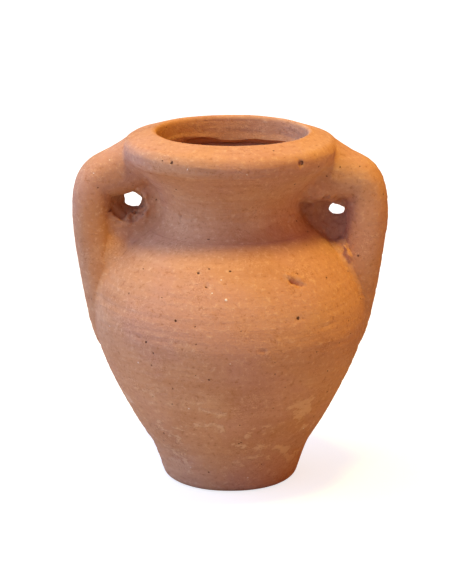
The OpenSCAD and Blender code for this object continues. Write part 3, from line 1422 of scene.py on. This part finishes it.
@dataclass(frozen=True)
class Earthenware:
    """Unglazed earthenware: coarse red clay, fired once and left matt.

    Attributes:
        name: Name of the material.
        body: Colour of the fired clay.
        pale: Colour where fine slip dried on it.
        deep: Colour where it fired harder.
        pink: Colour of the pinker patches.
        pit: Painted shade inside the pits, a dark colour that stands for the shade in them.
        lime: Colour of the lime specks.
        roughness: Roughness of the surface.
        shine: Level of the faint shine that matt clay keeps.
        turning: Strength of the fine turning marks.
        grit: Strength of the sand at the surface.
        smears: Strength of the dried slip smears.
        specks: Single specks at chosen places.
    """

    name: str
    body: str = "#ca9067"
    pale: str = "#e3b48c"
    deep: str = "#a96c46"
    pink: str = "#c58c78"
    # Painted shade: a dark brown that stands for the shade inside the pits.
    pit: str = "#4a2818"
    lime: str = "#f3e4d2"
    roughness: float = 0.9
    shine: float = 0.2
    turning: float = 1.0
    grit: float = 1.0
    smears: float = 0.0
    specks: tuple[Speck, ...] = ()

    def build(self) -> bpy.types.Material:
        """Builds the material from the body outwards.

        Returns:
            The material.
        """
        coats = Coats(self.name, self.body)
        # Broad clouds from uneven firing.
        coats.lay(coats.clouds(26), 0.42, 0.72, self.deep, 0.45)
        coats.lay(coats.clouds(19, 4, 1.6), 0.52, 0.78, self.pale, 0.35)
        # Pinker patches, where salts dried on the surface.
        coats.lay(coats.clouds(34), 0.46, 0.62, self.pink, 0.4)
        # Faint level bands that the potter's fingers left on the wheel.
        turning, bands = self.turning, coats.clouds(2.6, 2, 14)
        coats.lay(bands, 0.5, 0.72, self.pale, 0.12 * turning, relief=0.11 * turning)
        coats.lay(bands, 0.48, 0.3, self.deep, 0.12 * turning)
        # Hair-fine scratches where sand grains were dragged round.
        hairs = coats.clouds(0.42, 2, 22)
        coats.lay(hairs, 0.56, 0.75, self.deep, 0.25 * turning, relief=0.05 * turning)
        # Mottling from the sand just under the skin.
        grit, mottle = self.grit, coats.clouds(1.5, 4, 1.2, 0.7)
        coats.lay(mottle, 0.52, 0.72, self.pale, 0.38 * grit, relief=0.18 * grit)
        coats.lay(mottle, 0.46, 0.28, self.deep, 0.55 * grit)
        # Worn patches, where the sand itself shows. Its grains are drawn a little coarse.
        worn, sand = (coats.clouds(12), 0.5, 0.66), coats.clouds(0.55, 3, 1.0, 0.7)
        coats.lay(sand, 0.55, 0.7, self.pale, 0.5 * grit, within=worn, relief=0.08 * grit)
        coats.lay(sand, 0.46, 0.32, self.deep, 0.6 * grit, within=worn)
        # Smears of finer, paler slip from 4 to 44 mm up, low on the belly and on the foot.
        if self.smears:
            low, slip = (coats.from_level(24), 20 * MM, 10 * MM), coats.clouds(7, 6, 1.7, 0.7)
            coats.lay(slip, 0.56, 0.6, self.pale, 0.6 * self.smears, within=low, height=0.1)
        # Small pits left by burnt-out straw, each a dip with painted shade, a dark colour, in it; and
        # a few grains of lime.
        coats.lay(coats.scattered(3.6, 0.28, 0.34), 0, 1, self.pit, 0.72, height=-0.3)
        coats.lay(coats.scattered(6.5, 0.26, 0.25), 0, 1, self.lime, 0.75)
        for speck in self.specks:
            # Each pit gets painted shade, a dark colour, as well as its dip.
            colour, height = (self.lime, 0.15) if speck.pale else (self.pit, -0.4)
            coats.lay(coats.from_speck(speck), 1.65, 1.35, colour, 0.9, height=height)
        return coats.finish(self.roughness, self.shine)


# ---------------------------------------------------------------- the studio


@dataclass
class Studio:
    """Pale floor, soft lights and camera.

    Attributes:
        target_z: Height in mm that the camera looks at.
        distance: Distance of the camera from there, in mm.
        elevation: Degrees that it stands above the level.
        roll: Degrees that it is turned about its own line of sight.
        lens: Focal length in mm on a sensor of 36 mm.
        shift_x: Sideways shift of the lens, as a share of the frame's longer side.
        shift_y: Upward shift of the lens.
        floor_glow: Light of its own that keeps the floor's far part pale.
        room: Strength of the light from the room.
        room_left: Its colour on the left.
        room_middle: Its colour in the middle.
        room_right: Its colour on the right.
        key_away: Distance of the lamp from the foot, in metres.
        key_elevation: Degrees that the lamp stands above the level.
        key_turn: Degrees that it stands to the right of the front.
        key_size: Its side in metres.
        key_power: Its power in watts.
        key_colour: Its colour.
    """

    target_z: float = 60.0
    distance: float = 850.0
    elevation: float = 15.5
    roll: float = 0.2
    lens: float = 154.3
    shift_x: float = -0.0063
    shift_y: float = 0.0197
    floor_glow: float = 0.75
    room: float = 3.6
    room_left: str = "#b0c8ff"
    room_middle: str = "#2e2e2e"
    room_right: str = "#8c5200"
    key_away: float = 1.2
    key_elevation: float = 79.0
    key_turn: float = 20.0
    key_size: float = 0.24
    key_power: float = 12.6
    key_colour: str = "#ffe874"

    def build_camera(self) -> bpy.types.Object:
        """The camera, in front of the pot and a little above it.

        Returns:
            The camera.
        """
        tilt = math.radians(self.elevation)
        back, rise = self.distance * math.cos(tilt), self.distance * math.sin(tilt)
        deselect()
        bpy.ops.object.camera_add(
            location=(0, -back * MM, (self.target_z + rise) * MM),
            rotation=(math.pi / 2 - tilt, 0, 0),
        )
        camera = bpy.context.object
        camera.rotation_euler.rotate_axis("Z", math.radians(self.roll))
        camera.data.sensor_fit = "AUTO"
        camera.data.lens = self.lens
        camera.data.shift_x = self.shift_x
        camera.data.shift_y = self.shift_y
        camera.data.clip_start = 0.05
        camera.data.clip_end = 20
        bpy.context.scene.camera = camera
        return camera

    def build_floor(self) -> bpy.types.Object:
        """A wide pale floor.

        Returns:
            The floor.
        """
        deselect()
        bpy.ops.mesh.primitive_plane_add(size=6, location=(0, 0, 0))
        floor = bpy.context.object
        floor.name = "floor"
        material = bpy.data.materials.new("pale_paper")
        material.use_nodes = True
        shader = material.node_tree.nodes["Principled BSDF"]
        shader.inputs["Base Color"].default_value = linear("#bab8b5")
        shader.inputs["Roughness"].default_value = 0.9
        shader.inputs["Emission Color"].default_value = linear(WHITE)
        tree = material.node_tree
        seen = add_node(tree, "ShaderNodeLightPath").outputs["Is Camera Ray"]
        settings = {"operation": "MULTIPLY", 1: self.floor_glow}
        glow = add_node(tree, "ShaderNodeMath", settings, n0=seen)
        tree.links.new(glow.outputs[0], shader.inputs["Emission Strength"])
        floor.data.materials.append(material)
        return floor

    def build_lamp(self) -> bpy.types.Object:
        """A square soft lamp, high in front of the pot.

        Returns:
            The lamp.
        """
        tilt, turn = math.radians(self.key_elevation), math.radians(self.key_turn)
        level = self.key_away * math.cos(tilt)
        place = (level * math.sin(turn), -level * math.cos(turn), self.key_away * math.sin(tilt))
        deselect()
        bpy.ops.object.light_add(type="AREA", location=place)
        lamp = bpy.context.object
        lamp.name = "key"
        lamp.data.size = self.key_size
        lamp.data.energy = self.key_power
        lamp.data.color = linear(self.key_colour)[:3]
        aim = Vector((0, 0, self.target_z * MM)) - Vector(place)
        lamp.rotation_euler = aim.to_track_quat("-Z", "Y").to_euler()
        return lamp

    def build_world(self) -> None:
        """A pale room, cool on the left and warm on the right, that looks white itself."""
        world = bpy.data.worlds.new("pale_room")
        bpy.context.scene.world = world
        world.use_nodes = True
        tree = world.node_tree
        direction = add_node(tree, "ShaderNodeTexCoord").outputs["Generated"]
        across = add_node(tree, "ShaderNodeSeparateXYZ", n0=direction).outputs["X"]
        ends = {"From Min": -1.0, "From Max": 1.0}
        share = add_node(tree, "ShaderNodeMapRange", ends, Value=across).outputs["Result"]
        ramp = add_node(tree, "ShaderNodeValToRGB", n0=share)
        stops = ramp.color_ramp.elements
        stops.new(0.5)
        for stop, colour in zip(stops, (self.room_left, self.room_middle, self.room_right)):
            stop.color = linear(colour)
        lit = tree.nodes["Background"].outputs[0]
        lit.node.inputs["Strength"].default_value = self.room
        tree.links.new(ramp.outputs["Color"], lit.node.inputs["Color"])
        white = add_node(tree, "ShaderNodeBackground", {"Color": linear(WHITE)}).outputs[0]
        seen = add_node(tree, "ShaderNodeLightPath").outputs["Is Camera Ray"]
        room = add_node(tree, "ShaderNodeMixShader", n0=seen, n1=lit, n2=white)
        tree.links.new(room.outputs[0], tree.nodes["World Output"].inputs["Surface"])

    def build(self) -> None:
        """Builds the studio."""
        self.build_world()
        self.build_floor()
        self.build_lamp()
        self.build_camera()
        bpy.context.scene.view_settings.view_transform = "Standard"


# ---------------------------------------------------------------- the whole pot


def finish_piece(
    piece: bpy.types.Object, node: str, material: bpy.types.Material
) -> None:
    """Brings a piece to metres, dresses it, hangs it under the root body and hides the CAD part that
    it stands for.

    Args:
        piece: The piece, in mm.
        node: The CAD node that it stands for.
        material: Its finish.
    """
    activate(piece)
    set_coords(piece, coords(piece) * MM)
    bpy.ops.object.shade_smooth_by_angle(angle=math.radians(EDGE_ANGLE))
    piece.data.name = piece.name
    piece.data.materials.clear()
    piece.data.materials.append(material)
    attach(piece, "root")
    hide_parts(node)
    triangles = sum(len(p.vertices) - 2 for p in piece.data.polygons)
    log.info("%s stands for %s: %d triangles", piece.name, node, triangles)


def slot_of(frame: dict, node: str) -> str:
    """The record's material slot of a CAD node."""
    parts = frame["record"]["subparts"]
    return next(part["material_slot"] for part in parts if part["node"] == node)


def left_handle(vessel: Vessel, hands: Hands) -> Handle:
    """The left handle, whose gap narrows to a small round hole.

    Args:
        vessel: The pot.
        hands: Makes it uneven.

    Returns:
        The handle.
    """
    return Handle(
        Side.LEFT, vessel, hands, blend_high=7.5, blend_low=6.5,
        lumps=(
            Lump((33.0, 1.0, 92.0), (14.0, 8.4, 17.0)),
            Lump((38.5, 0.0, 76.0), (8.0, 9.6, 12.0)),
        ),
        bore=(
            Ring(-12, (35.2, 96.0), (8.6, 7.0), 14),
            Ring(-8, (34.8, 95.4), (7.0, 5.8), 12),
            Ring(-3, (34.2, 95.2), (5.2, 4.6), 8),
            Ring(2, (33.2, 95.6), (2.9, 2.7), 4),
            Ring(6, (32.9, 95.0), (3.4, 3.4), 0),
            Ring(12, (32.8, 95.0), (8.5, 8.0), 0),
        ),
        crumbs=(
            Lump((33.6, -3.0, 91.6), (1.3, 1.4, 1.1)),
            Lump((31.4, -4.2, 91.0), (1.5, 1.3, 1.3)),
            Lump((32.2, -1.4, 92.9), (1.0, 1.0, 0.9)),
            Lump((34.9, -4.4, 90.8), (1.2, 1.2, 1.0)),
            Lump((30.4, -2.4, 92.8), (0.9, 1.0, 1.1)),
        ),
    )


def right_handle(vessel: Vessel, hands: Hands) -> Handle:
    """The right handle, with a flat hole low under a thick pad of clay.

    Args:
        vessel: The pot.
        hands: Makes it uneven.

    Returns:
        The handle.
    """
    return Handle(
        Side.RIGHT, vessel, hands, blend_high=6.0, blend_low=4.5,
        lumps=(
            Lump((33.0, 4.8, 91.0), (13.5, 4.8, 15.0)),
            Lump((38.0, 0.0, 75.0), (8.0, 9.2, 8.6)),
            Lump((29.5, -1.0, 101.0), (9.0, 8.6, 5.8), lean=8),
        ),
        bore=(
            Ring(-14, (33.6, 88.4), (13.0, 8.8), -18),
            Ring(-6, (33.6, 89.8), (10.2, 7.0), -18),
            Ring(-1, (34.2, 90.8), (8.2, 5.4), -16),
            Ring(3, (36.4, 92.3), (2.7, 1.9), -10),
            Ring(6, (36.5, 92.2), (3.2, 2.6), -6),
            Ring(12, (35.0, 92.2), (8.5, 8.0), 0),
        ),
        slits=(Lump((31.9, -8.3, 98.6), (1.9, 2.6, 0.6), lean=-22),),
        crumbs=(
            Lump((37.4, -7.2, 84.2), (0.7, 0.9, 1.3), lean=-30),
            Lump((38.8, -8.2, 81.8), (0.8, 0.9, 1.5), lean=-35),
            Lump((40.2, -8.7, 79.0), (0.8, 0.8, 1.6), lean=-30),
            Lump((38.4, -8.2, 80.0), (0.6, 0.6, 0.9), lean=-20),
        ),
    )


def main() -> None:
    """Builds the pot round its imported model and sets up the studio."""
    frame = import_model()
    vessel, hands = Vessel(), Hands()
    specks = vessel.specks()
    thrown = Earthenware("thrown_unglazed_earthenware", grit=1.3, smears=1.0, specks=specks)
    pulled = Earthenware("pulled_unglazed_earthenware", turning=0.25, grit=1.35)
    smeared = Earthenware("smeared_unglazed_earthenware", turning=0.12, grit=1.3)
    finishes = {
        # Turned on the wheel: level bands, hair-fine drag lines and smears of pale slip.
        "thrown_clay": thrown.build(),
        # Pulled with a wet hand: sand washed to the surface and hardly a line.
        "handle_clay": pulled.build(),
        # Pressed on with a thumb: sandy, mottled and without lines.
        "luting_clay": smeared.build(),
    }
    pieces = {
        "foot": vessel.build_foot(),
        "belly": vessel.build_belly(),
        "neck": vessel.build_neck(),
        "rim": vessel.build_rim(),
    }
    for node, marks in MARKS.items():
        for mark in marks:
            press_mark(pieces[node], mark)
    for piece in pieces.values():
        hands.shape(piece)
    core = vessel.build_skin("core", 1.5, 0.0, 200)
    for handle in (left_handle(vessel, hands), right_handle(vessel, hands)):
        pieces.update(handle.build(core))
    bpy.data.objects.remove(core)
    for node, piece in pieces.items():
        slot = slot_of(frame, node)
        finish_piece(piece, node, finishes[slot])
    Studio().build()


if __name__ == "__main__":
    logging.basicConfig(level=logging.INFO, format="%(message)s")
    main()
